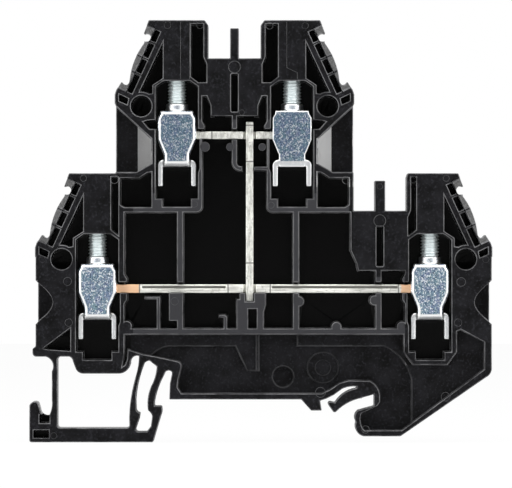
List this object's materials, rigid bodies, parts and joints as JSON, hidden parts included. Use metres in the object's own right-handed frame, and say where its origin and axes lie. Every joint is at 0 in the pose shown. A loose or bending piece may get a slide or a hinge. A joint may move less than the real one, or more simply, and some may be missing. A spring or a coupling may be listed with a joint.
{
  "type": "double level terminal block",
  "caption": "Rail-mounted double level terminal block with one open side: screw clamps with yokes on stepped current bars in a slim ribbed housing with a sprung foot.",
  "frame": {"origin": "middle of the rail and of the block's thickness, on the flat face that rests on the rail", "axes": "+X across the rail to the side of the fixed nose, +Y along the rail away from the open side, +Z away from the rail"},
  "size_m": [0.0741, 0.0071, 0.0676],
  "materials": {
    "housing_plastic": "satin",
    "tinned_copper": "satin",
    "zinc_screw": "bright",
    "zinc_yoke": "satin"
  },
  "bodies": {
    "housing": {"housing": "housing_plastic", "upper_bar": "tinned_copper", "lower_bar": "tinned_copper", "level_link": "tinned_copper"},
    "screw_upper_left": {"screw_upper_left": "zinc_screw"},
    "yoke_upper_left": {"yoke_upper_left": "zinc_yoke"},
    "screw_upper_right": {"screw_upper_right": "zinc_screw"},
    "yoke_upper_right": {"yoke_upper_right": "zinc_yoke"},
    "screw_lower_left": {"screw_lower_left": "zinc_screw"},
    "yoke_lower_left": {"yoke_lower_left": "zinc_yoke"},
    "screw_lower_right": {"screw_lower_right": "zinc_screw"},
    "yoke_lower_right": {"yoke_lower_right": "zinc_yoke"}
  },
  "joints": [
    {"name": "lift_upper_left", "type": "slide", "parent": "housing", "child": "yoke_upper_left", "axis": [0, 0, 1], "range_m": [-0.0019, 0.0031]},
    {"name": "turn_upper_left", "type": "hinge", "parent": "housing", "child": "screw_upper_left", "pos_m": [-0.014, -0.00045, 0.0522], "axis": [0, 0, 1], "range_deg": [-2235, 1370]},
    {"name": "lift_upper_right", "type": "slide", "parent": "housing", "child": "yoke_upper_right", "axis": [0, 0, 1], "range_m": [-0.0019, 0.0031]},
    {"name": "turn_upper_right", "type": "hinge", "parent": "housing", "child": "screw_upper_right", "pos_m": [0.00445, -0.00045, 0.0522], "axis": [0, 0, 1], "range_deg": [-2235, 1370]},
    {"name": "lift_lower_left", "type": "slide", "parent": "housing", "child": "yoke_lower_left", "axis": [0, 0, 1], "range_m": [-0.0019, 0.0031]},
    {"name": "turn_lower_left", "type": "hinge", "parent": "housing", "child": "screw_lower_left", "pos_m": [-0.02675, -0.00045, 0.0277], "axis": [0, 0, 1], "range_deg": [-2235, 1370]},
    {"name": "lift_lower_right", "type": "slide", "parent": "housing", "child": "yoke_lower_right", "axis": [0, 0, 1], "range_m": [-0.0019, 0.0031]},
    {"name": "turn_lower_right", "type": "hinge", "parent": "housing", "child": "screw_lower_right", "pos_m": [0.02655, -0.00045, 0.0277], "axis": [0, 0, 1], "range_deg": [-2235, 1370]}
  ],
  "couplings": [
    {"joint": "turn_upper_left", "follows": "lift_upper_left", "rad_per_m": -12566},
    {"joint": "turn_upper_right", "follows": "lift_upper_right", "rad_per_m": -12566},
    {"joint": "turn_lower_left", "follows": "lift_lower_left", "rad_per_m": -12566},
    {"joint": "turn_lower_right", "follows": "lift_lower_right", "rad_per_m": -12566}
  ]
}
